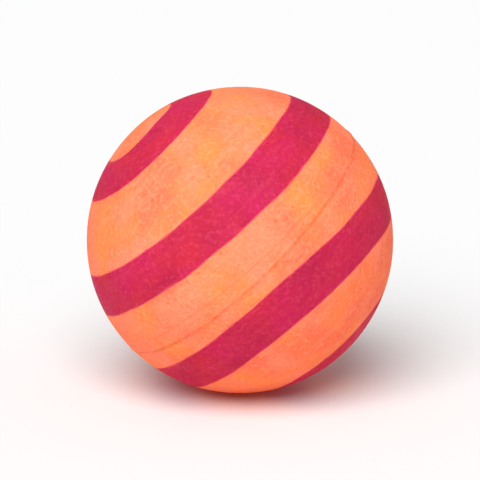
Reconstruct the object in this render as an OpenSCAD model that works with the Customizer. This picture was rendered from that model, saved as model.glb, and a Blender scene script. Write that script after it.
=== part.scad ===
// Hollow rubber bouncy ball with two colours in rings.
//
// Two pressed half shells are cemented rim to rim. Each half was pressed from a slice of a rod that was
// wrapped from coloured sheets, so a colour runs right through the wall and each joint between two
// colours is a cone whose tip is the centre of the ball. The two neighbours of a joint share that cone.
// The origin is the centre of the ball, and the floor touches it at z = -ball_d / 2.

/* [Ball] */
// Outside diameter, over the ground surface
ball_d = 60; // [58:0.5:64]
// Thickness of the rubber wall
wall = 4.5; // [3.5:0.1:6]

/* [Swirl] */
// Radius of the plain disc at each pole, along the surface
disc_r = 8.3; // [7:0.1:9.5]
// Width of a stripe ring, along the surface
stripe_w = 8.4; // [6.5:0.1:9]
// Width of the plain band between the two stripe rings of a half, along the surface
band_w = 15.1; // [13:0.1:16]

/* [Pressing] */
// How far each colour edge of the upper half slid outward in the press, from pole to rim
upper_shift = [-0.1, -0.1, -0.2, -0.2]; // [-1:0.1:1]
// How far each of those edges leans off centre
upper_lean = [1.1, 0.8, 0.3, 0.5]; // [0:0.1:1.5]
// Direction in which each of those edges leans, round the pole
upper_lean_to = [-20, 5, 30, 110]; // [-180:5:180]
// How far each colour edge of the lower half slid outward in the press, from pole to rim
lower_shift = [0.1, 0.2, -0.7, -0.5]; // [-1:0.1:1]
// How far each of those edges leans off centre
lower_lean = [0.4, 0.5, 0.9, 1.1]; // [0:0.1:1.5]
// Direction in which each of those edges leans, round the pole
lower_lean_to = [-75, -100, 80, 85]; // [-180:5:180]

/* [Sheet joints] */
// Where the inner and the outer stripe sheet of the upper half meet their own ends, round the pole
upper_joint = [-60, -130]; // [-180:5:180]
// Where those of the lower half meet their own ends
lower_joint = [-110, -40]; // [-180:5:180]
// How far a stripe steps out past its edge where its sheet's ends meet
joint_step = 0.8; // [0.4:0.1:1.2]
// How far the sheet's end pokes in past the stripe's other edge
joint_nick = 0.6; // [0.3:0.1:1]

/* [Seam] */
// Thickness of the line of cement between the two rims
cement_t = 0.3; // [0.2:0.05:0.6]
// Width of the bevel on the inner edge of each rim, which the surplus cement fills
rim_bevel = 0.9; // [0.5:0.1:1.5]
// How far the ground-down flash stands out along the seam
flash_h = 0.12; // [0.05:0.01:0.25]
// Width of that flash on each side of the seam
flash_w = 0.7; // [0.4:0.1:1.2]

/* [Lie] */
// How far the ball has rolled over: the tilt of its swirl from straight up
lie_tilt = 41; // [0:1:180]
// Direction in which it has rolled, from +X towards +Y
lie_to = 180; // [-180:5:180]

/* [Hidden] */
$fn = 96;

ball_r = ball_d / 2;
inner_r = ball_r - wall;
// The cones run from well inside the hollow to well outside the ball
hollow = 0.6 * inner_r;
reach = 1.2 * ball_r;
// How far round the ball the step and the nick at a sheet joint reach
step_run = 4;
nick_run = 2;
orange = [1, 0.6, 0.38];
crimson = [0.86, 0.17, 0.38];
cement = [0.95, 0.52, 0.36];

// The colour edges of a half as pressed true, along the surface from the pole
true_edges = [disc_r, disc_r + stripe_w, disc_r + stripe_w + band_w, disc_r + 2 * stripe_w + band_w];

// A length along the surface as the angle that it spans at the centre of the ball
function span(length) = length / ball_r * 180 / PI;

// How far a leaned edge lies from the pole at one place round it, as an angle
function edge_at(edge, lean, lean_to, place) = span(edge + lean * cos(place - lean_to));

// All of the wall that lies within an angle of +Z, seen from the centre of the ball
module sector(angle) {
    rotate_extrude()
        polygon([
            [0, hollow * cos(angle)],
            [hollow * sin(angle), hollow * cos(angle)],
            [reach * sin(angle), reach * cos(angle)],
            [reach * sin(angle), reach],
            [0, reach],
        ]);
}

// Turns what follows so that +Z comes to lie at an angle from the pole, at a place round it
module aim(place, angle) {
    rotate([0, angle, place])
        children();
}

// The wall of the upper half from its pole to its rim, with the bevel and the flash. Its spheres are
// turned to a place and an angle, so that their own poles lie true to the colour edge that cuts them
module half_shell(place, angle) {
    rim_z = cement_t / 2;
    difference() {
        union() {
            aim(place, angle)
                sphere(ball_r);
            flash();
        }
        aim(place, angle)
            sphere(inner_r);
        translate([-reach, -reach, rim_z - 2 * reach])
            cube(2 * reach);
        rim_cut(rim_z);
    }
}

// The low ridge along the seam that grinding leaves of the flash
module flash() {
    foot = span(flash_w);
    rotate_extrude()
        polygon([
            [inner_r + wall / 2, -ball_r * sin(foot)],
            [ball_r * cos(foot), -ball_r * sin(foot)],
            [ball_r + flash_h, 0],
            [ball_r * cos(foot), ball_r * sin(foot)],
            [inner_r + wall / 2, ball_r * sin(foot)],
        ]);
}

// What the bevel takes off the inner edge of a rim
module rim_cut(rim_z) {
    rotate_extrude()
        polygon([
            [inner_r - rim_bevel, rim_z - rim_bevel],
            [inner_r + 2 * rim_bevel, rim_z - rim_bevel],
            [inner_r - rim_bevel, rim_z + 2 * rim_bevel],
        ]);
}

// A tongue on a colour edge, with its sides running to the centre of the ball. Its outline is drawn
// on the surface, with x pointing away from the pole and y round it
module tongue(place, angle, outline) {
    aim(place, angle)
        translate([0, 0, hollow])
            linear_extrude(reach - hollow, scale = reach / hollow)
                polygon(outline * hollow / ball_r);
}

// All of the upper half that is pressed inside one colour edge: number 0 is the pole disc's.
// A stripe's outer edge steps out where its sheet's ends meet, and its inner edge pokes inward there
module pressed_within(number, shift, lean, lean_to, joint) {
    edge = true_edges[number] + shift[number];
    is_outer_edge = number % 2 == 1;
    place = joint[floor(number / 2)];
    here = edge_at(edge, lean[number], lean_to[number], place);
    difference() {
        union() {
            aim(lean_to[number], span(lean[number]))
                sector(span(edge));
            if (is_outer_edge)
                tongue(place, here, [[-step_run / 2, 0], [joint_step, 0], [-joint_step, step_run]]);
        }
        if (!is_outer_edge)
            tongue(place, here, [[-joint_nick, 0], [joint_nick, 0], [joint_nick, nick_run]]);
    }
}

// One colour of a half, from the zone at the pole, number 0, to the one at the rim, number 4
module zone(number, shift, lean, lean_to, joint) {
    outer_edge = min(number, 3);
    difference() {
        intersection() {
            half_shell(lean_to[outer_edge], span(lean[outer_edge]));
            if (number < 4)
                pressed_within(number, shift, lean, lean_to, joint);
            else
                translate([-reach, -reach, 0])
                    cube(2 * reach);
        }
        if (number > 0)
            pressed_within(number - 1, shift, lean, lean_to, joint);
    }
}

// Rolls the ball over from its swirl straight up to how it lies
module lie() {
    rotate([0, lie_tilt, lie_to])
        children();
}

module upper_zone(number) {
    lie()
        zone(number, upper_shift, upper_lean, upper_lean_to, upper_joint);
}

module lower_zone(number) {
    lie()
        mirror([0, 0, 1])
            zone(number, lower_shift, lower_lean, lower_lean_to, lower_joint);
}

module upper_pole_disc() {
    color(orange) upper_zone(0);
}

module upper_inner_ring() {
    color(crimson) upper_zone(1);
}

module upper_middle_band() {
    color(orange) upper_zone(2);
}

module upper_outer_ring() {
    color(crimson) upper_zone(3);
}

module upper_rim_band() {
    color(orange) upper_zone(4);
}

module lower_pole_disc() {
    color(orange) lower_zone(0);
}

module lower_inner_ring() {
    color(crimson) lower_zone(1);
}

module lower_middle_band() {
    color(orange) lower_zone(2);
}

module lower_outer_ring() {
    color(crimson) lower_zone(3);
}

module lower_rim_band() {
    color(orange) lower_zone(4);
}

// The line of cement, with the bead that squeezed out into the bevels on the inside
module seam_cement() {
    rim_z = cement_t / 2;
    bead_r = inner_r + rim_bevel;
    color(cement)
        lie()
            rotate_extrude()
                polygon([
                    [inner_r, -rim_z - rim_bevel],
                    [bead_r, -rim_z],
                    [ball_r, -rim_z],
                    [ball_r, rim_z],
                    [bead_r, rim_z],
                    [inner_r, rim_z + rim_bevel],
                ]);
}

upper_pole_disc();
upper_inner_ring();
upper_middle_band();
upper_outer_ring();
upper_rim_band();
lower_pole_disc();
lower_inner_ring();
lower_middle_band();
lower_outer_ring();
lower_rim_band();
seam_cement();
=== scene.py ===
"""Looks of a hollow rubber bouncy ball with two colours in rings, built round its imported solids.

The ball is two pressed half shells, cemented rim to rim. Each half has five zones of coloured rubber
that run through the wall: a pole disc, an inner ring, a middle band, an outer ring and a rim band.
Lengths are in millimetres until a mesh is placed, and in metres in the scene.
"""

import logging
import math
from dataclasses import dataclass
from enum import Enum, IntEnum

import bmesh
import bpy
import numpy as np
from mathutils import Matrix, Vector

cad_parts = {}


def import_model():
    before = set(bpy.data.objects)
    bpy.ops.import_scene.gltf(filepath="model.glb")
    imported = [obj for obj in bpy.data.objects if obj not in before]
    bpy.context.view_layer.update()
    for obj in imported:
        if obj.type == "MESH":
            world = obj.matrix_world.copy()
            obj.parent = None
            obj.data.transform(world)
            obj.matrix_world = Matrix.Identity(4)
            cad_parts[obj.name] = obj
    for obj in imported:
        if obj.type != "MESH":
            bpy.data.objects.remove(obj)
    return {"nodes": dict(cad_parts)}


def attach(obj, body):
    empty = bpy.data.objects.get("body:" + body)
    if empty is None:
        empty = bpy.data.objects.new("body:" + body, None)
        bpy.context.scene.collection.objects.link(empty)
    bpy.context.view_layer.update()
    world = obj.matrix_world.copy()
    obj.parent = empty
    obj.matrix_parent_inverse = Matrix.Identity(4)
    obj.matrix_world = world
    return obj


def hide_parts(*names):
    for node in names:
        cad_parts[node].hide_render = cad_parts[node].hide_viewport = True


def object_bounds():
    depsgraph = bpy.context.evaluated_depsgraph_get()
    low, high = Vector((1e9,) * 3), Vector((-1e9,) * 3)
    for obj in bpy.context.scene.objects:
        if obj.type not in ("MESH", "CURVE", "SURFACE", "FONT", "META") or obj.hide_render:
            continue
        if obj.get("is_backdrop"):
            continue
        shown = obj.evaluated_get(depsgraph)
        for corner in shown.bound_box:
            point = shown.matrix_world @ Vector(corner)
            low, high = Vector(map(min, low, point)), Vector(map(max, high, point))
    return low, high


# One millimetre in the scene's metres
MM = 0.001
# How near to each other, in millimetres, a shell's points are taken as one
SAME_POINT = 0.0005
# Edges sharper than this many degrees stay sharp
SHARP_EDGE = 35.0
BODY = "root"
LOG = logging.getLogger("bouncy_ball")


class Zone(Enum):
    """The zones of coloured rubber in one half, from its pole to its rim."""

    POLE_DISC = 0
    INNER_RING = 1
    MIDDLE_BAND = 2
    OUTER_RING = 3
    RIM_BAND = 4

    @property
    def is_stripe(self) -> bool:
        """Whether the zone is one of the two wrapped stripes."""
        return self in (Zone.INNER_RING, Zone.OUTER_RING)


class Side(Enum):
    """The two halves of the ball, by the way their pole points from the seam."""

    UPPER = 1
    LOWER = -1


@dataclass(frozen=True)
class BallSize:
    """Real sizes of the ball in millimetres, the same as its solids have."""

    radius: float
    wall: float = 4.5
    disc: float = 8.3
    stripe: float = 8.4
    band: float = 15.1
    cement: float = 0.3
    bevel: float = 0.9

    @property
    def inner_radius(self) -> float:
        """Radius of the hollow."""
        return self.radius - self.wall

    @property
    def quarter(self) -> float:
        """Distance from pole to seam along the surface."""
        return self.radius * math.pi / 2

    @property
    def edges(self) -> tuple[float, float, float, float]:
        """The colour edges of a half as pressed true.

        Returns:
            The distance of each from the pole along the surface, in millimetres.
        """
        first = self.disc
        second = first + self.stripe
        third = second + self.band
        return first, second, third, third + self.stripe


@dataclass(frozen=True)
class Lie:
    """How the ball has rolled over, from its swirl straight up, in degrees."""

    tilt: float = 41.0
    towards: float = 180.0

    def rolled(self, points: np.ndarray) -> np.ndarray:
        """Roll places over with the ball.

        Args:
            points: Places in the ball's own frame, one row each.

        Returns:
            Where they come to lie in the scene's frame.
        """
        tilt = Matrix.Rotation(math.radians(self.tilt), 3, "Y")
        turn = Matrix.Rotation(math.radians(self.towards), 3, "Z")
        return points @ np.array(turn @ tilt).T


class Ripple:
    """A smooth random field, summed from waves that run in random directions."""

    # Where the mean wave has one crest, the coarsest and the finest wave have this many
    FINENESS = (0.7, 1.5)

    def __init__(self, wavelength: float, seed: int, waves: int = 28) -> None:
        """Draw the waves.

        Args:
            wavelength: Mean distance between crests, in millimetres.
            seed: Seed of the random draw.
            waves: Number of waves in the sum.
        """
        draw = np.random.default_rng(seed)
        heading = draw.normal(size=(waves, 3))
        heading /= np.linalg.norm(heading, axis=1)[:, None]
        fineness = draw.uniform(*self.FINENESS, size=(waves, 1))
        self.waves = heading * fineness * (math.tau / wavelength)
        self.phases = draw.uniform(0, math.tau, size=waves)

    def at(self, points: np.ndarray) -> np.ndarray:
        """Read the field.

        Args:
            points: Places in millimetres, one row each.

        Returns:
            One value for each place, mostly between -1 and 1.
        """
        total = np.cos(points @ self.waves.T + self.phases).sum(axis=1)
        return total / math.sqrt(len(self.phases))


@dataclass(frozen=True)
class PressFlow:
    """How the press carried the colour edges of one half away from true circles.

    Each edge slid outward by its shift, leans to one side and bulges in three low lobes. A stripe's
    sheet meets its own end at its joint, where the outer edge steps out and the inner one is nicked.
    Lengths are in millimetres, and directions in degrees round the pole.
    """

    size: BallSize
    shift: tuple[float, float, float, float]
    lean: tuple[float, float, float, float]
    lean_to: tuple[float, float, float, float]
    lobes: tuple[float, float, float, float]
    lobes_to: tuple[float, float, float, float]
    joints: tuple[float, float]
    seed: int
    joint_step: float = 0.8
    joint_nick: float = 0.6
    step_run: float = 4.0
    nick_run: float = 2.0
    joint_blend: float = 0.6
    # A sheet's joint has one colour on both sides, so it is taken as a little way off a weld
    joint_weld: float = 0.08
    # How far from the seam the rubber no longer moved
    still_margin: float = 0.8
    lobe_count: int = 3
    # For each kind of wave: the fewest crests round the ball, the most, and how high it usually is
    waves: tuple[tuple[int, int, float], ...] = ((4, 7, 0.1), (8, 19, 0.07), (24, 60, 0.02))
    waves_of_a_kind: int = 4

    def wander(self, number: int, azimuth: np.ndarray) -> np.ndarray:
        """Slow and fine wander of a colour edge, where the two rubbers flowed.

        Args:
            number: The colour edge, from 0 at the pole disc.
            azimuth: Places round the pole, in radians.

        Returns:
            How far the edge strays from its leaned circle, in millimetres.
        """
        draw = np.random.default_rng(self.seed + number)
        # The small circles near the pole have less room to wander
        reach = min(1.0, self.size.edges[number] / self.size.edges[2])
        share = reach / math.sqrt(self.waves_of_a_kind)
        lobe = math.radians(self.lobes_to[number])
        stray = self.lobes[number] * np.cos(self.lobe_count * (azimuth - lobe))
        for fewest, most, height in self.waves:
            counts = draw.choice(np.arange(fewest, most + 1), size=self.waves_of_a_kind, replace=False)
            phases = draw.uniform(0, math.tau, size=self.waves_of_a_kind)
            for count, phase in zip(counts, phases):
                stray += share * height * np.cos(count * azimuth + phase)
        return stray

    def sheet_joint(self, number: int, azimuth: np.ndarray) -> np.ndarray:
        """The step or the nick in a stripe's edge where its sheet meets its own end.

        Args:
            number: The colour edge, from 0 at the pole disc.
            azimuth: Places round the pole, in radians.

        Returns:
            How far the edge moves outward, in millimetres.
        """
        is_outer_edge = number % 2 == 1
        along = self.past_joint(number // 2, self.size.edges[number], azimuth)
        run = self.step_run if is_outer_edge else self.nick_run
        height = self.joint_step if is_outer_edge else -self.joint_nick
        rise = 1 + along / self.joint_blend
        fall = 1 - 2 * along / run
        return height * np.clip(np.minimum(rise, fall), 0, 1)

    def past_joint(self, sheet: int, arc: float | np.ndarray, azimuth: np.ndarray) -> np.ndarray:
        """How far past a stripe sheet's joint places lie, round the pole.

        Args:
            sheet: 0 for the inner stripe and 1 for the outer one.
            arc: Distance of the places from the pole along the surface, in millimetres.
            azimuth: The places round the pole, in radians.

        Returns:
            The distance along the ring in millimetres, below 0 ahead of the joint.
        """
        turn = np.mod(azimuth - math.radians(self.joints[sheet]) + math.pi, math.tau) - math.pi
        return turn * self.size.radius * np.sin(arc / self.size.radius)

    def edge(self, number: int, azimuth: np.ndarray) -> np.ndarray:
        """Distance of a colour edge from the pole along the surface, in millimetres.

        Args:
            number: The colour edge, from 0 at the pole disc.
            azimuth: Places round the pole, in radians.

        Returns:
            The distance at each place.
        """
        leaned = self.lean[number] * np.cos(azimuth - math.radians(self.lean_to[number]))
        true_edge = self.size.edges[number] + self.shift[number]
        return true_edge + leaned + self.wander(number, azimuth) + self.sheet_joint(number, azimuth)

    def carry(self, arc: np.ndarray, azimuth: np.ndarray) -> np.ndarray:
        """Carry points of the true pattern to where the press left them.

        Args:
            arc: Distances from the pole along the surface, in millimetres.
            azimuth: Places round the pole, in radians.

        Returns:
            The new distances from the pole.
        """
        still = self.size.quarter - self.still_margin
        before = (0.0, *self.size.edges, still)
        edges = [self.edge(number, azimuth) for number in range(len(self.size.edges))]
        after = [np.zeros_like(azimuth), *edges, np.full_like(azimuth, still)]
        moved = arc.copy()
        for start in range(len(before) - 1):
            inside = (arc > before[start]) & (arc <= before[start + 1])
            share = (arc - before[start]) / (before[start + 1] - before[start])
            stretched = after[start] + share * (after[start + 1] - after[start])
            moved[inside] = stretched[inside]
        return moved

    def weld_distance(self, zone: Zone, arc: np.ndarray, azimuth: np.ndarray) -> np.ndarray:
        """Distance from points of a zone to its nearest colour edge or sheet joint, in millimetres.

        Args:
            zone: The zone that the points are on.
            arc: Their distances from the pole along the surface.
            azimuth: Their places round the pole, in radians.

        Returns:
            The distance at each point, and 0 on the edge itself.
        """
        nearest = np.full_like(arc, self.size.quarter)
        if zone is not Zone.RIM_BAND:
            nearest = np.minimum(nearest, self.edge(zone.value, azimuth) - arc)
        if zone is not Zone.POLE_DISC:
            nearest = np.minimum(nearest, arc - self.edge(zone.value - 1, azimuth))
        if zone.is_stripe:
            to_joint = np.abs(self.past_joint(zone.value // 2, arc, azimuth))
            nearest = np.minimum(nearest, to_joint + self.joint_weld)
        return np.maximum(nearest, 0)


@dataclass(frozen=True)
class Wear:
    """How much of a ridge still stands along it, as a share of its full height."""

    length: float
    mean: float
    swing: float
    least: float
    most: float
    seed: int

    def at(self, points: np.ndarray) -> np.ndarray:
        """The share that stands at each place, with the places in millimetres."""
        share = self.mean + self.swing * Ripple(self.length, self.seed).at(points)
        return np.clip(share, self.least, self.most)


@dataclass(frozen=True)
class PartingLine:
    """Where the mould that cured the cemented ball was parted, a little askew to the cement.

    Its flash was ground off, which leaves a low ridge. Most of it stands at three quarters of its
    height, and short nicks are taken out of a little of it. Angles are in degrees and lengths in
    millimetres.
    """

    askew: float = 5.5
    dips_to: float = 68.0
    height: float = 0.12
    width: float = 0.7
    worn: Wear = Wear(length=9.0, mean=0.75, swing=0.5, least=0.15, most=1.3, seed=7)
    nicked: Wear = Wear(length=1.6, mean=2.2, swing=-1.6, least=0.2, most=1.0, seed=8)

    @property
    def up(self) -> np.ndarray:
        """The way that is square to the line's plane.

        Returns:
            A unit vector in the ball's own frame, towards the upper half.
        """
        askew, dips_to = math.radians(self.askew), math.radians(self.dips_to)
        level = math.sin(askew)
        return np.array((level * math.cos(dips_to), level * math.sin(dips_to), math.cos(askew)))

    def over(self, points: np.ndarray) -> np.ndarray:
        """How far places in the ball's own frame lie over the line's plane, below 0 under it."""
        return points @ self.up

    def ridge(self, points: np.ndarray) -> np.ndarray:
        """The ridge that is left of the flash.

        Args:
            points: Places on the sphere, in the ball's own frame, in millimetres.

        Returns:
            The height of the ridge at each place.
        """
        over = self.over(points)
        along = points - over[:, None] * self.up
        slope = np.clip(1 - np.abs(over) / self.width, 0, 1)
        return self.height * slope * self.worn.at(along) * self.nicked.at(along)


@dataclass(frozen=True)
class Skin:
    """Relief of the ground rubber, which lies just under the ball's true sphere.

    It is made of broad lumps and of a fine peel, as on an orange. Lengths are in millimetres.
    """

    line: PartingLine
    # How far the mean skin lies under the true sphere
    sunk: float = 0.06
    lump_length: float = 24.0
    lump_height: float = 0.03
    peel_length: float = 2.6
    peel_height: float = 0.006
    # The random fields of the lumps and the peel are cut off at this value
    most: float = 1.8

    def height(self, points: np.ndarray) -> np.ndarray:
        """Height of the skin over the true sphere.

        Args:
            points: Places on the sphere, in the ball's own frame, in millimetres.

        Returns:
            The height at each place, below 0 but for the ridge of the parting line.
        """
        lumps = np.clip(Ripple(self.lump_length, seed=5).at(points), -self.most, self.most)
        peel = np.clip(Ripple(self.peel_length, seed=6).at(points), -self.most, self.most)
        relief = lumps * self.lump_height + peel * self.peel_height
        return relief - self.sunk + self.line.ridge(points)


@dataclass(frozen=True)
class MeshDetail:
    """How fine the pieces' meshes are: steps round the ball, and along it in millimetres."""

    turns: int = 540
    skin_step: float = 0.36
    rim_step: float = 0.12
    hidden_step: float = 1.6


def linear(colour: str) -> tuple[float, float, float, float]:
    """Turn an sRGB hex colour to linear values.

    Args:
        colour: Six hex digits.

    Returns:
        Red, green, blue and an alpha of 1.
    """
    shares = [int(colour[at:at + 2], 16) / 255 for at in (0, 2, 4)]
    values = [s / 12.92 if s <= 0.04045 else ((s + 0.055) / 1.055) ** 2.4 for s in shares]
    return values[0], values[1], values[2], 1.0


def per_mm(length: float) -> float:
    """Scale that gives a texture features of one real length.

    Args:
        length: Size of a feature, in millimetres.

    Returns:
        The scale, for coordinates in metres.
    """
    return 1 / (length * MM)


def add_node(
    tree: bpy.types.NodeTree,
    kind: str,
    settings: dict[str, object] | None = None,
    values: dict[str | int, object] | None = None,
    links: dict[str | int, bpy.types.NodeSocket] | None = None,
) -> bpy.types.Node:
    """Add a node with its settings, values and links.

    Args:
        tree: The material's node tree.
        kind: The node's type, without the prefix that all shader nodes share.
        settings: The node's own options.
        values: Input sockets, by name or number, and what each holds.
        links: Input sockets, by name or number, and the output that feeds each.

    Returns:
        The new node.
    """
    node = tree.nodes.new("ShaderNode" + kind)
    for name, value in (settings or {}).items():
        setattr(node, name, value)
    for name, value in (values or {}).items():
        node.inputs[name].default_value = value
    for name, output in (links or {}).items():
        tree.links.new(output, node.inputs[name])
    return node


def bare_material(name: str) -> bpy.types.Material:
    """Make a material whose node tree is still empty.

    Args:
        name: The material's name.

    Returns:
        The material.
    """
    material = bpy.data.materials.new(name)
    material.use_nodes = True
    material.node_tree.nodes.clear()
    return material


class MixSocket(IntEnum):
    """Sockets of a colour mix, which share their names with those of its other kinds."""

    FACTOR = 0
    FIRST = 6
    SECOND = 7
    RESULT = 2


def layered(
    tree: bpy.types.NodeTree,
    ground: bpy.types.NodeSocket | str,
    coats: list[tuple[bpy.types.NodeSocket, bpy.types.NodeSocket | str]],
) -> bpy.types.NodeSocket:
    """Lay coats of colour over one another.

    Args:
        tree: The material's node tree.
        ground: The colour at the bottom, as an output or in sRGB hex.
        coats: For each coat, from 0 to 1 how much of it shows, and its colour.

    Returns:
        The colour that shows in the end.
    """
    for share, coat in coats:
        values, links = {}, {MixSocket.FACTOR: share}
        for socket, colour in ((MixSocket.FIRST, ground), (MixSocket.SECOND, coat)):
            if isinstance(colour, str):
                values[socket] = linear(colour)
            else:
                links[socket] = colour
        ground = add_node(tree, "Mix", {"data_type": "RGBA"}, values, links).outputs[MixSocket.RESULT]
    return ground


@dataclass(frozen=True)
class Mottle:
    """Smooth random patches over a surface. The size is in millimetres.

    The patches rise from low to high where the noise, which is about 0.5, goes from start to end.
    """

    size: float
    start: float
    end: float
    low: float = 0.0
    high: float = 1.0
    detail: float = 2.0

    def share(
        self, tree: bpy.types.NodeTree, place: bpy.types.NodeSocket,
        most: bpy.types.NodeSocket | None = None,
    ) -> bpy.types.NodeSocket:
        """How much of the patches shows at each place.

        Args:
            tree: The material's node tree.
            place: The coordinates to read, in metres.
            most: What the patches rise to instead of high, where that changes over the surface.

        Returns:
            From low off the patches to high in the middle of one.
        """
        texture = {"Scale": per_mm(self.size), "Detail": self.detail}
        pattern = add_node(tree, "TexNoise", None, texture, {"Vector": place})
        links = {"Value": pattern.outputs["Fac"]}
        if most is not None:
            links["To Max"] = most
        levels = {"From Min": self.start, "From Max": self.end, "To Min": self.low, "To Max": self.high}
        return add_node(tree, "MapRange", None, levels, links).outputs["Result"]


@dataclass(frozen=True)
class Specks:
    """Small round marks strewn over a surface.

    The spacing and the radius of the largest are in millimetres, and presence is the share of places
    that have a mark.
    """

    spacing: float
    largest: float
    presence: float
    strength: float

    def share(self, tree: bpy.types.NodeTree, place: bpy.types.NodeSocket) -> bpy.types.NodeSocket:
        """How much of the marks shows at each place.

        Args:
            tree: The material's node tree.
            place: Object coordinates, in metres.

        Returns:
            From 0 off the marks to their strength in the middle of one.
        """
        cells = add_node(tree, "TexVoronoi", None, {"Scale": per_mm(self.spacing)}, {"Vector": place})
        chance = add_node(tree, "SeparateColor", links={"Color": cells.outputs["Color"]})
        radius = add_node(
            tree, "MapRange", None,
            {"From Min": 1 - self.presence, "From Max": 1.0, "To Max": self.largest / self.spacing},
            {"Value": chance.outputs["Red"]},
        )
        inside = add_node(
            tree, "MapRange", {"interpolation_type": "SMOOTHSTEP"},
            {"From Min": 0.0, "To Min": self.strength, "To Max": 0.0},
            {"Value": cells.outputs["Distance"], "From Max": radius.outputs["Result"]},
        )
        return inside.outputs["Result"]


@dataclass(frozen=True)
class GroundRubber:
    """Natural rubber with a fluorescent pigment, compression moulded and then ground in a tumbler.

    Grinding leaves the skin matt, with a fine grain, open pores and hardly any sheen. A painted red
    glow, given as constant emission, keeps the colour bright in the shade.
    The stock has broad clouds, and faint streaks that run with the rings, because it was wrapped and
    pressed. The grain of such rubber and its pale flecks are under 0.2 mm, and are drawn at 0.7 and
    0.8 mm so that they show.
    """

    name: str
    slot: str
    colour: str
    cloud: str
    bloom: str
    streak: str
    # Painted glow: a constant red emission that keeps the colour bright in the shade
    painted_glow: str
    # Colour of the dark grit and of the dirt on the parting line, also used as painted shade in the
    # pores
    grime_and_pore_shade: str
    fleck: str
    # Broad clouds in the stock, and the streaks that the press drew out of it
    clouds: Mottle = Mottle(size=11, start=0.38, end=0.62, detail=4.0)
    blooms: Mottle = Mottle(size=8, start=0.44, end=0.64, detail=3.0)
    streaks: Mottle = Mottle(size=1.25, start=0.5, end=0.74, high=0.5, detail=3.0)
    # Pale flecks, dark grit and pale dust in the ground skin, and open pores, which are sunk and
    # darkened with painted shade
    flecks: Mottle = Mottle(size=0.8, start=0.5, end=0.68, high=0.4)
    grit: Specks = Specks(spacing=3.4, largest=0.8, presence=0.3, strength=0.6)
    dust: Specks = Specks(spacing=2.6, largest=0.7, presence=0.3, strength=0.7)
    pores: Specks = Specks(spacing=1.1, largest=0.5, presence=0.8, strength=0.45)
    # The colour of the line where two rubbers mixed, its width in millimetres, and the wisps by it.
    # A reach is where marks begin, in millimetres off their line, and where they are strongest
    weld: str = "D04B55"
    weld_width: Mottle = Mottle(size=1.1, start=0.3, end=0.7, low=0.1, high=0.34)
    wisps: Mottle = Mottle(size=0.45, start=0.6, end=0.72)
    wisp_reach: tuple[float, float] = (1.6, 0.2)
    wisp_strength: float = 0.5
    # The dirt that the ridge of the parting line picked up
    line_patches: Mottle = Mottle(size=1.8, start=0.26, end=0.48)
    line_reach: tuple[float, float] = (0.5, 0.1)
    line_strength: float = 0.5
    # The tooth of the ground skin, its depth in millimetres, and how dull the skin is
    grain: Mottle = Mottle(size=0.7, start=0.2, end=0.8, detail=3.0)
    grain_depth: float = 0.16
    dullness: Mottle = Mottle(size=6, start=0.35, end=0.65, low=0.62, high=0.78)
    ior: float = 1.52
    specular: float = 0.12

    def make(self) -> bpy.types.Material:
        """Build the material.

        Returns:
            The material, which reads object coordinates and the mesh's own attributes.
        """
        material = bare_material(self.name)
        tree = material.node_tree
        place = add_node(tree, "TexCoord").outputs["Object"]
        flow = add_node(tree, "Attribute", {"attribute_name": "press_flow"}).outputs["Vector"]
        pores = self.pores.share(tree, place)
        colour = layered(tree, self.colour, [
            (self.clouds.share(tree, place), self.cloud),
            (self.blooms.share(tree, place), self.bloom),
            (self.streaks.share(tree, flow), self.streak),
            (self.flecks.share(tree, place), self.fleck),
            (self.grit.share(tree, place), self.grime_and_pore_shade),
            (self.dust.share(tree, place), self.streak),
            (self.line_share(tree, place), self.grime_and_pore_shade),
            (self.weld_share(tree, place, flow), self.weld),
            # Painted shade: the open pores are darkened as if shade lay in them
            (pores, self.grime_and_pore_shade),
        ])
        shader = add_node(
            tree, "BsdfPrincipled", None,
            {
                "IOR": self.ior,
                "Specular IOR Level": self.specular,
                # Painted glow: the same constant emission everywhere, so the rubber stays bright in its
                # shade
                "Emission Color": linear(self.painted_glow),
                "Emission Strength": 1.0,
            },
            {
                "Base Color": colour,
                "Roughness": self.dullness.share(tree, place),
                "Normal": self.relief(tree, place, pores),
            },
        )
        add_node(tree, "OutputMaterial", links={"Surface": shader.outputs["BSDF"]})
        return material

    def line_share(
        self, tree: bpy.types.NodeTree, place: bpy.types.NodeSocket
    ) -> bpy.types.NodeSocket:
        """How much dirt the ridge of the parting line has picked up, in patches.

        Args:
            tree: The material's node tree.
            place: Object coordinates, in metres.

        Returns:
            From 0 off the line to the dirt's strength on it.
        """
        over = add_node(tree, "Attribute", {"attribute_name": "parting_mm"}).outputs["Fac"]
        away = add_node(tree, "Math", {"operation": "ABSOLUTE"}, None, {0: over})
        off, on = self.line_reach
        near = add_node(
            tree, "MapRange", None, {"From Min": off, "From Max": on, "To Max": self.line_strength},
            {"Value": away.outputs["Value"]},
        )
        return self.line_patches.share(tree, place, near.outputs["Result"])

    def weld_share(
        self, tree: bpy.types.NodeTree, place: bpy.types.NodeSocket, flow: bpy.types.NodeSocket
    ) -> bpy.types.NodeSocket:
        """How far two rubbers have mixed at their joint, with wisps that are drawn out along it.

        Args:
            tree: The material's node tree.
            place: Object coordinates, in metres.
            flow: Coordinates that follow the rings, in metres.

        Returns:
            From 0 in a rubber of its own to 1 on the joint.
        """
        weld = add_node(tree, "Attribute", {"attribute_name": "weld_mm"}).outputs["Fac"]
        line = add_node(
            tree, "MapRange", {"interpolation_type": "SMOOTHSTEP"},
            {"From Min": 0.0, "To Min": 1.0, "To Max": 0.0},
            {"Value": weld, "From Max": self.weld_width.share(tree, place)},
        )
        off, on = self.wisp_reach
        near = add_node(
            tree, "MapRange", None, {"From Min": off, "From Max": on, "To Max": self.wisp_strength},
            {"Value": weld},
        )
        wisps = self.wisps.share(tree, flow, near.outputs["Result"])
        both = add_node(
            tree, "Math", {"operation": "MAXIMUM"}, None, {0: line.outputs["Result"], 1: wisps}
        )
        return both.outputs["Value"]

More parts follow.
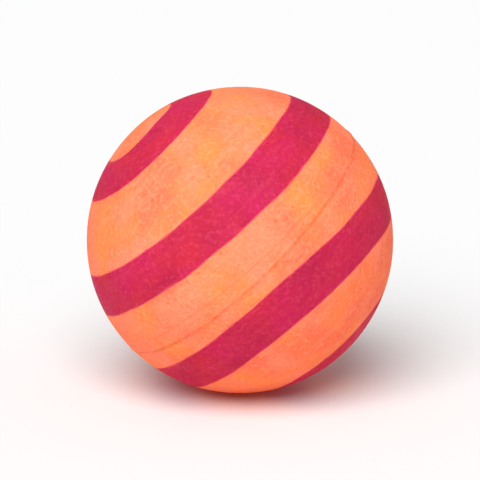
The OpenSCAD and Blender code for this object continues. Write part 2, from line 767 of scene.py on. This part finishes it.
    def relief(
        self, tree: bpy.types.NodeTree, place: bpy.types.NodeSocket, pores: bpy.types.NodeSocket
    ) -> bpy.types.NodeSocket:
        """The fine grain that grinding leaves, with the pores sunk in it.

        Args:
            tree: The material's node tree.
            place: Object coordinates, in metres.
            pores: How much of the pores shows.

        Returns:
            The surface's normal.
        """
        grain = self.grain.share(tree, place)
        sunk = add_node(tree, "Math", {"operation": "SUBTRACT"}, None, {0: grain, 1: pores})
        bump = add_node(
            tree, "Bump", None, {"Strength": 1.0, "Distance": self.grain_depth * MM},
            {"Height": sunk.outputs["Value"]},
        )
        return bump.outputs["Normal"]


@dataclass(frozen=True)
class CuredCement:
    """Natural rubber cement, brushed on the rims and cured.

    It is a thin line that is hardly darker than the rubber and a little smoother, and it has a painted
    red glow.
    """

    name: str
    slot: str
    colour: str
    # Painted glow: a constant red emission, as on the rubber
    worn: str
    painted_glow: str
    beads: Mottle = Mottle(size=1.4, start=0.42, end=0.6)
    roughness: float = 0.55
    ior: float = 1.52
    specular: float = 0.25

    def make(self) -> bpy.types.Material:
        """Build the material.

        Returns:
            The material, which reads object coordinates.
        """
        material = bare_material(self.name)
        tree = material.node_tree
        place = add_node(tree, "TexCoord").outputs["Object"]
        shader = add_node(
            tree, "BsdfPrincipled", None,
            {
                "Roughness": self.roughness,
                "IOR": self.ior,
                "Specular IOR Level": self.specular,
                # Painted glow: constant emission that keeps the cement bright in its shade
                "Emission Color": linear(self.painted_glow),
                "Emission Strength": 1.0,
            },
            {"Base Color": layered(tree, self.colour, [(self.beads.share(tree, place), self.worn)])},
        )
        add_node(tree, "OutputMaterial", links={"Surface": shader.outputs["BSDF"]})
        return material


def steps_between(start: float, end: float, step: float) -> list[float]:
    """Evenly spaced values from start to end, both of them included.

    Args:
        start: First value.
        end: Last value.
        step: Largest distance between two values.

    Returns:
        The values in order.
    """
    count = max(1, math.ceil(abs(end - start) / step))
    return [start + (end - start) * at / count for at in range(count + 1)]


def spun(profile: list[tuple[float, float]], turns: int, is_ring: bool) -> bmesh.types.BMesh:
    """Spin a profile a full turn about the swirl's axis.

    Args:
        profile: Distance from the axis and height of each point, in millimetres.
        turns: Number of steps in the full turn.
        is_ring: Whether the profile closes on itself, off the axis.

    Returns:
        The closed shell.
    """
    shell = bmesh.new()
    corners = [shell.verts.new((across, 0.0, height)) for across, height in profile]
    sides = [shell.edges.new(pair) for pair in zip(corners, corners[1:])]
    if is_ring:
        sides.append(shell.edges.new((corners[-1], corners[0])))
    bmesh.ops.spin(
        shell, geom=corners + sides, cent=(0, 0, 0), axis=(0, 0, 1), dvec=(0, 0, 0),
        angle=math.tau, steps=turns, use_merge=True, use_duplicate=False,
    )
    bmesh.ops.remove_doubles(shell, verts=shell.verts, dist=SAME_POINT)
    bmesh.ops.recalc_face_normals(shell, faces=shell.faces)
    return shell


def finished_piece(
    name: str, shell: bmesh.types.BMesh, material: bpy.types.Material
) -> bpy.types.Object:
    """Make an object of a shell that stands for the solid of its own name.

    Args:
        name: Name of the solid that the piece replaces, without the piece's own ending.
        shell: The mesh in millimetres, in the ball's own frame. It is freed.
        material: The material made from that finish.

    Returns:
        The piece, linked to the scene and riding on the ball's body.
    """
    mesh = bpy.data.meshes.new(name + "_skin")
    shell.to_mesh(mesh)
    shell.free()
    piece = bpy.data.objects.new(name + "_skin", mesh)
    bpy.context.scene.collection.objects.link(piece)
    mesh.materials.append(material)
    mesh.polygons.foreach_set("use_smooth", [True] * len(mesh.polygons))
    mesh.set_sharp_from_angle(angle=math.radians(SHARP_EDGE))
    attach(piece, BODY)
    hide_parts(name)
    return piece


def read_points(mesh: bpy.types.Mesh) -> np.ndarray:
    """Read the places of a mesh's vertices.

    Args:
        mesh: The mesh to read.

    Returns:
        One row for each vertex.
    """
    flat = np.empty(len(mesh.vertices) * 3)
    mesh.vertices.foreach_get("co", flat)
    return flat.reshape(-1, 3)


def write_points(mesh: bpy.types.Mesh, points: np.ndarray) -> None:
    """Move a mesh's vertices to new places, one row each."""
    mesh.vertices.foreach_set("co", points.ravel())
    mesh.update()


def paint(mesh: bpy.types.Mesh, name: str, values: np.ndarray) -> None:
    """Store a number or a vector on every vertex, for a material to read.

    Args:
        mesh: The mesh to store it on.
        name: The attribute's name.
        values: One number or one row of three for each vertex.
    """
    is_vector = values.ndim == 2
    kind = "FLOAT_VECTOR" if is_vector else "FLOAT"
    field = "vector" if is_vector else "value"
    mesh.attributes.new(name, kind, "POINT").data.foreach_set(field, values.astype(np.float32).ravel())


@dataclass
class HalfShell:
    """One pressed half of the ball, with its five zones."""

    side: Side
    size: BallSize
    flow: PressFlow
    skin: Skin
    lie: Lie
    detail: MeshDetail
    base: GroundRubber
    stripe: GroundRubber
    # Radius in millimetres of the circle that the streaks' pattern has for a turn round the pole.
    # It is far smaller than a ring, which draws the streaks out along the rings
    streak_circle: float = 3.0

    def profile(self, zone: Zone) -> list[tuple[float, float]]:
        """Outline of a zone as pressed true, cut by a plane through the axis.

        Args:
            zone: The zone to outline.

        Returns:
            Distance from the axis and height of each point, in millimetres.
        """
        if zone is Zone.RIM_BAND:
            return self.rim_profile()
        start = self.size.edges[zone.value - 1] if zone is not Zone.POLE_DISC else 0.0
        end = self.size.edges[zone.value]
        outside = [
            self.on_arc(at, self.size.radius)
            for at in steps_between(start, end, self.detail.skin_step)
        ]
        inside = [
            self.on_arc(at, self.size.inner_radius)
            for at in steps_between(end, start, self.detail.hidden_step)
        ]
        return outside + inside

    def rim_profile(self) -> list[tuple[float, float]]:
        """Outline of the rim band, with fine steps where the parting line runs and the bevel inside.

        Returns:
            Distance from the axis and height of each point, in millimetres.
        """
        size, line = self.size, self.skin.line
        start = size.edges[-1]
        rim = size.quarter - size.cement / 2
        fine = rim - size.radius * math.radians(line.askew) - line.width
        outer = steps_between(start, fine, self.detail.skin_step)
        outer += steps_between(fine, rim, self.detail.rim_step)[1:]
        outside = [self.on_arc(at, size.radius) for at in outer]
        bevel = [
            (size.inner_radius + size.bevel, size.cement / 2),
            (size.inner_radius, size.cement / 2 + size.bevel),
        ]
        # A height over the seam in the hollow is a longer way along the ball's surface outside
        hidden_end = size.quarter - (size.cement / 2 + size.bevel) * size.radius / size.inner_radius
        inside = [
            self.on_arc(at, size.inner_radius)
            for at in steps_between(hidden_end, start, self.detail.hidden_step)[1:]
        ]
        return outside + bevel + inside

    def on_arc(self, arc: float, radius: float) -> tuple[float, float]:
        """A point of the wall, by its distance from the pole along the ball's surface."""
        angle = arc / self.size.radius
        return radius * math.sin(angle), radius * math.cos(angle)

    def press(self, zone: Zone, mesh: bpy.types.Mesh) -> None:
        """Give a zone the flow of the press and the relief of its skin, and paint it.

        Args:
            zone: The zone that the mesh is.
            mesh: The zone as pressed true. It is moved to how it lies, in metres.
        """
        points = read_points(mesh)
        depth = np.linalg.norm(points, axis=1)
        across = np.hypot(points[:, 0], points[:, 1])
        azimuth = np.arctan2(points[:, 1], points[:, 0])
        arc = self.flow.carry(np.arctan2(across, points[:, 2]) * self.size.radius, azimuth)
        angle = arc / self.size.radius
        rise = self.side.value * np.cos(angle)
        heading = np.c_[np.sin(angle) * np.cos(azimuth), np.sin(angle) * np.sin(azimuth), rise]
        is_skin = depth > self.size.radius - self.size.wall / 2
        depth[is_skin] += self.skin.height(heading[is_skin] * self.size.radius)
        placed = heading * depth[:, None]
        write_points(mesh, self.lie.rolled(placed) * MM)
        paint(mesh, "weld_mm", self.flow.weld_distance(zone, arc, azimuth))
        paint(mesh, "parting_mm", self.skin.line.over(placed))
        round_pole = np.c_[np.cos(azimuth), np.sin(azimuth)] * self.streak_circle
        # The two halves read the pattern in different places
        from_pole = arc + self.side.value * self.size.quarter
        paint(mesh, "press_flow", np.c_[from_pole, round_pole] * MM)

    def build(self, materials: dict[str, bpy.types.Material]) -> list[bpy.types.Object]:
        """Build the five zones.

        Args:
            materials: The rubbers' materials, by the name of their finish.

        Returns:
            The five pieces, from pole to rim.
        """
        pieces = []
        for zone in Zone:
            name = f"{self.side.name}_{zone.name}".lower()
            shell = spun(self.profile(zone), self.detail.turns, zone is not Zone.POLE_DISC)
            if self.side is Side.LOWER:
                # Pressing mirrors this half, which turns its faces the right way round again
                bmesh.ops.reverse_faces(shell, faces=shell.faces)
            finish = self.stripe if zone.is_stripe else self.base
            piece = finished_piece(name, shell, materials[finish.name])
            self.press(zone, piece.data)
            pieces.append(piece)
        return pieces


@dataclass
class SeamCement:
    """The line of cement between the two rims, with the bead it left in their bevels.

    It shrank as it cured, so its face lies a little deeper than the rubber's skin beside it.
    """

    size: BallSize
    skin: Skin
    lie: Lie
    detail: MeshDetail
    finish: CuredCement
    shrink: float = 0.05

    def profile(self) -> list[tuple[float, float]]:
        """Outline of the cement, cut by a plane through the axis.

        Returns:
            Distance from the axis and height of each point, in millimetres.
        """
        size = self.size
        rim = size.cement / 2
        skin = math.sqrt(size.radius ** 2 - rim ** 2)
        bead = size.inner_radius + size.bevel
        inner = size.inner_radius
        return [
            (skin, -rim), (skin, 0.0), (skin, rim),
            (bead, rim), (inner, rim + size.bevel), (inner, -rim - size.bevel), (bead, -rim),
        ]

    def build(self, materials: dict[str, bpy.types.Material]) -> bpy.types.Object:
        """Build the ring of cement.

        Args:
            materials: The materials, by the name of their finish.

        Returns:
            The piece.
        """
        shell = spun(self.profile(), self.detail.turns, True)
        piece = finished_piece("seam_cement", shell, materials[self.finish.name])
        points = read_points(piece.data)
        is_skin = np.hypot(points[:, 0], points[:, 1]) > self.size.radius - self.size.wall / 2
        lift = self.skin.height(points[is_skin]) - self.shrink
        points[is_skin] *= 1 + lift[:, None] / self.size.radius
        write_points(piece.data, self.lie.rolled(points) * MM)
        return piece


@dataclass
class Studio:
    """A plain pale floor, soft light and the camera at the photograph's viewing angle.

    The elevation and the key lamp's spread are in degrees, the sensor's width is in millimetres and
    the floor's radius in metres. A brightness is what the light adds to a white surface that faces
    it, where 1 is white.
    """

    size: BallSize
    elevation: float = 14.0
    distance_in_radii: float = 22.9
    ball_share_of_frame: float = 0.64
    sensor_width: float = 36.0
    floor_colour: str = "E4E4E4"
    floor_roughness: float = 0.9
    floor_specular: float = 0.1
    floor_radius: float = 4.0
    floor_sides: int = 96
    room_brightness: float = 0.38
    key_from: tuple[float, float, float] = (-0.15, -0.64, 0.755)
    key_brightness: float = 1.19
    key_spread: float = 50.0

    def camera(self) -> None:
        """Place the camera so that the ball takes its share of the frame."""
        data = bpy.data.cameras.new("camera")
        data.sensor_width = self.sensor_width
        ball_tangent = math.tan(math.asin(1 / self.distance_in_radii))
        data.lens = self.sensor_width / 2 * self.ball_share_of_frame / ball_tangent
        camera = bpy.data.objects.new("camera", data)
        bpy.context.scene.collection.objects.link(camera)
        tilt = math.radians(self.elevation)
        back = Vector((0, -math.cos(tilt), math.sin(tilt)))
        camera.location = back * self.distance_in_radii * self.size.radius * MM
        camera.rotation_euler = (-back).to_track_quat("-Z", "Y").to_euler()
        bpy.context.scene.camera = camera

    def floor(self) -> None:
        """Lay the floor that the ball rests on."""
        sheet = bmesh.new()
        bmesh.ops.create_circle(
            sheet, cap_ends=True, segments=self.floor_sides, radius=self.floor_radius
        )
        bmesh.ops.translate(sheet, verts=sheet.verts, vec=(0, 0, -self.size.radius * MM))
        mesh = bpy.data.meshes.new("floor")
        sheet.to_mesh(mesh)
        sheet.free()
        floor = bpy.data.objects.new("floor", mesh)
        bpy.context.scene.collection.objects.link(floor)
        floor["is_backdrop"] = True
        mesh.materials.append(self.floor_material())

    def floor_material(self) -> bpy.types.Material:
        """Make the floor's board, which is plain, pale and matt.

        Returns:
            The board's material.
        """
        material = bare_material("pale_board")
        shader = add_node(
            material.node_tree, "BsdfPrincipled", None,
            {
                "Base Color": linear(self.floor_colour),
                "Roughness": self.floor_roughness,
                "Specular IOR Level": self.floor_specular,
            },
        )
        add_node(material.node_tree, "OutputMaterial", links={"Surface": shader.outputs["BSDF"]})
        return material

    def room(self) -> None:
        """Light the whole room evenly."""
        world = bpy.data.worlds.new("room")
        world.use_nodes = True
        background = world.node_tree.nodes["Background"]
        background.inputs["Color"].default_value = (1.0, 1.0, 1.0, 1.0)
        background.inputs["Strength"].default_value = self.room_brightness
        bpy.context.scene.world = world

    def key_lamp(self) -> None:
        """Hang a large soft lamp, far enough away to light the floor evenly."""
        data = bpy.data.lights.new("key_softbox", "SUN")
        data.energy = self.key_brightness * math.pi
        data.angle = math.radians(self.key_spread)
        lamp = bpy.data.objects.new("key_softbox", data)
        bpy.context.scene.collection.objects.link(lamp)
        lamp.rotation_euler = Vector(self.key_from).to_track_quat("Z", "Y").to_euler()

    def build(self) -> None:
        """Set up the floor, the lights and the camera."""
        # With this a surface in full light shows the very colour that its hex value names
        bpy.context.scene.view_settings.view_transform = "Standard"
        self.floor()
        self.room()
        self.key_lamp()
        self.camera()


def finishes() -> tuple[GroundRubber, GroundRubber, CuredCement]:
    """The finishes of the ball.

    Returns:
        The base rubber, the stripe rubber and the cement.
    """
    # Orange natural rubber with a fluorescent pigment, ground in a tumbler: dull skin, and a painted
    # red glow keeps it bright in its own shade
    base = GroundRubber(
        "ground_orange_rubber", "orange_rubber", colour="F98545", cloud="F57150", bloom="FB8361",
        streak="FC8D64", painted_glow="590300", grime_and_pore_shade="BA5A32", fleck="FF9D76",
    )
    # Crimson natural rubber from the same rod: deeper, with a touch of pink where it has bloomed, and a
    # painted red glow
    stripe = GroundRubber(
        "ground_crimson_rubber", "crimson_rubber", colour="A7243A", cloud="8F1B41",
        bloom="A31C4D", streak="AF2E4B", painted_glow="7C0004", grime_and_pore_shade="6E1A35", fleck="B83D5A",
    )
    # Cement in the base rubber's colour, with a painted red glow: its thin line is all but lost between
    # the two rims
    cement = CuredCement(
        "cured_rubber_cement", "rubber_cement", colour="F07A50", worn="F7845A", painted_glow="560300"
    )
    return base, stripe, cement


def press_flows(size: BallSize) -> dict[Side, PressFlow]:
    """How each half's colour edges came out of the press.

    Args:
        size: Real sizes of the ball.

    Returns:
        The flow in each half.
    """
    upper = PressFlow(
        size, shift=(-0.1, -0.1, -0.2, -0.2), lean=(1.1, 0.8, 0.3, 0.5),
        lean_to=(-20, 5, 30, 110), lobes=(0.4, 0.2, 0.1, 0.05), lobes_to=(-58, -48, -44, -14),
        joints=(-60, -130), seed=11,
    )
    lower = PressFlow(
        size, shift=(0.1, 0.2, -0.7, -0.5), lean=(0.4, 0.5, 0.9, 1.1),
        lean_to=(-75, -100, 80, 85), lobes=(0.1, 0.3, 0.15, 0.3), lobes_to=(-25, 48, -19, -22),
        joints=(-110, -40), seed=31,
    )
    return {Side.UPPER: upper, Side.LOWER: lower}


def main() -> None:
    """Build the ball's pieces round its frame, then the studio."""
    logging.basicConfig(level=logging.INFO, format="%(message)s")
    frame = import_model()
    cad_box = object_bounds()
    LOG.info("frame has %d solids", len(frame["nodes"]))
    # The ball stands on its lowest point, which is a radius under the origin
    lowest, _ = cad_box
    size = BallSize(radius=round(-lowest.z / MM, 1))
    base, stripe, cement = finishes()
    materials = {finish.name: finish.make() for finish in (base, stripe, cement)}
    lie, skin, detail = Lie(), Skin(PartingLine()), MeshDetail()
    pieces = []
    for side, flow in press_flows(size).items():
        pieces += HalfShell(side, size, flow, skin, lie, detail, base, stripe).build(materials)
    pieces.append(SeamCement(size, skin, lie, detail, cement).build(materials))
    for piece in pieces:
        LOG.info("built %s with %d faces", piece.name, len(piece.data.polygons))
    Studio(size).build()


if __name__ == "__main__":
    main()
